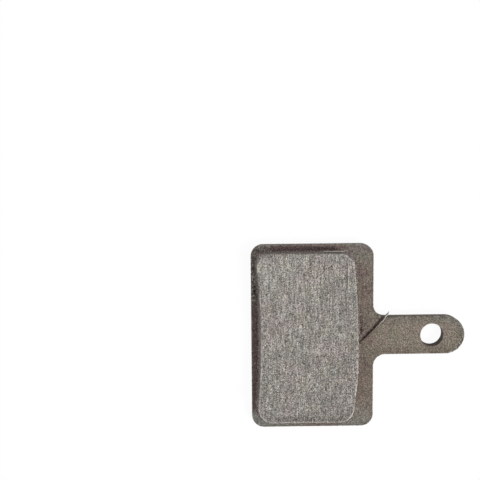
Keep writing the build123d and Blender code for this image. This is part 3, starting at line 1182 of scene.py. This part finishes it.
def plate_finish():
    """Painted steel: a thin brown-grey coat in front, black gloss behind, and pale worn edges."""
    f = Finish("painted_plate")
    back = f.attribute("back")
    worn = f.product(f.attribute("edge"), f.range(f.specks(0.35 * MM), 0.48, 0.62, 0.0, 0.8))
    colour = f.mix(worn, f.mix(back, front_coat(f), back_coat(f)), WORN_STEEL)
    relief = f.bump(f.specks(0.15 * MM), 0.015 * MM)
    roughness = f.range(back, 0.85, 1.0, 0.7, 0.36)
    specular = f.range(back, 0.85, 1.0, 0.2, 0.5)
    return f.surface(Base_Color=colour, Roughness=roughness, Specular_IOR_Level=specular, Normal=relief)


def burr_finish():
    """Bare sheared edge of the fin: brown-grey sides and a pale crest, partly painted highlight."""
    f = Finish("burr")
    colour = f.mix(f.attribute("edge"), BURR_BROWN, BURR_BRIGHT)
    light = f.range(f.specks(0.2 * MM), 0.3, 0.7, 0.75, 1.25)
    return f.surface(Base_Color=f.shade(colour, light), Roughness=0.5, Specular_IOR_Level=0.4)


backing_plate().data.materials.append(plate_finish())
friction_lining().data.materials.append(friction_finish())
tab_burr().data.materials.append(burr_finish())


# Floor, light and camera
WHITE = (1, 1, 1, 1)
FLOOR_HALF = 400 * MM
FLOOR_DROP = 0.02 * MM
FLOOR_PALE = (0.8, 0.8, 0.8, 1)
FLOOR_LIT = (0.06, 0.06, 0.06, 1)  # part of what the camera sees that is lit, and so takes the shadow
FLOOR_GLOW = 0.945
LAMP_TARGET = np.array((-15 * MM, 0.0, 2 * MM))

# The photograph's view, solved from the pad's edges
VIEW_POINT = np.array((-29.93 * MM, 15.14 * MM, 0.0))
VIEW_DISTANCE = 120.88 * MM
VIEW_TURN = (-0.0979, -0.0087, -0.0114)  # radians about X, Y and Z, in the order Z, Y, X
FOCAL_PIXELS = 770.2
IMAGE_PIXELS = 480
SENSOR_WIDTH = 36.0


def white_to_camera(nodes, plain, white):
    """A shader for the light, and another for what the camera, mirrors and glass see."""
    rays = nodes.add("LightPath", {}).outputs
    seen = rays["Is Camera Ray"]
    for other in ("Is Glossy Ray", "Is Transmission Ray"):
        seen = nodes.add("Math", {0: seen, 1: rays[other]}, operation="MAXIMUM").outputs[0]
    return nodes.add("MixShader", {0: seen, 1: plain, 2: white}).outputs[0]


def floor():
    """Pale floor: partly lit and partly glowing to the camera, so that it is white but keeps a shadow."""
    mesh = bpy.data.meshes.new("floor")
    corners = [(-1, -1), (1, -1), (1, 1), (-1, 1)]
    mesh.from_pydata([(x * FLOOR_HALF, y * FLOOR_HALF, -FLOOR_DROP) for x, y in corners], [], [(0, 1, 2, 3)])
    sheet = new_object("floor", mesh)
    material = bpy.data.materials.new("floor")
    material.use_nodes = True
    material.node_tree.nodes.clear()
    nodes = Nodes(material.node_tree)
    pale = nodes.add("BsdfDiffuse", {"Color": FLOOR_PALE}).outputs[0]
    lit = nodes.add("BsdfDiffuse", {"Color": FLOOR_LIT}).outputs[0]
    glow = nodes.add("Emission", {"Strength": FLOOR_GLOW}).outputs[0]
    both = nodes.add("AddShader", {0: lit, 1: glow}).outputs[0]
    nodes.add("OutputMaterial", {"Surface": white_to_camera(nodes, pale, both)})
    mesh.materials.append(material)


def surroundings(strength):
    """Even soft light from all round, and a white backdrop for the camera."""
    world = bpy.data.worlds.new("studio")
    bpy.context.scene.world = world
    world.use_nodes = True
    world.node_tree.nodes.clear()
    nodes = Nodes(world.node_tree)
    light, white = (
        nodes.add("Background", {"Color": WHITE, "Strength": level}).outputs[0] for level in (strength, 1.0)
    )
    nodes.add("OutputWorld", {"Surface": white_to_camera(nodes, light, white)})


def soft_lamp(azimuth, elevation, distance, size, power):
    """Square lamp that shines on the pad from that direction, in degrees."""
    lamp = bpy.data.lights.new("soft_lamp", "AREA")
    lamp.size = size
    lamp.energy = power
    holder = new_object("soft_lamp", lamp)
    turn, lift = np.radians(azimuth), np.radians(elevation)
    way = np.array((np.cos(turn) * np.cos(lift), np.sin(turn) * np.cos(lift), np.sin(lift)))
    holder.location = LAMP_TARGET + distance * way
    holder.rotation_euler = (np.pi / 2 - lift, 0, turn + np.pi / 2)


def camera():
    """Camera over the pad, nearly straight down, at the photograph's distance and angle."""
    data = bpy.data.cameras.new("camera")
    data.sensor_width = SENSOR_WIDTH
    data.lens = FOCAL_PIXELS / IMAGE_PIXELS * SENSOR_WIDTH
    data.clip_start = 1 * MM
    eye = new_object("camera", data)
    eye.rotation_mode = "ZYX"
    eye.rotation_euler = VIEW_TURN
    eye.location = VIEW_POINT + VIEW_DISTANCE * np.array(eye.rotation_euler.to_matrix().col[2])
    bpy.context.scene.camera = eye


floor()
surroundings(strength=0.5)
soft_lamp(azimuth=-33, elevation=52, distance=1.0, size=0.23, power=6.12)
camera()
bpy.context.scene.view_settings.view_transform = "Standard"
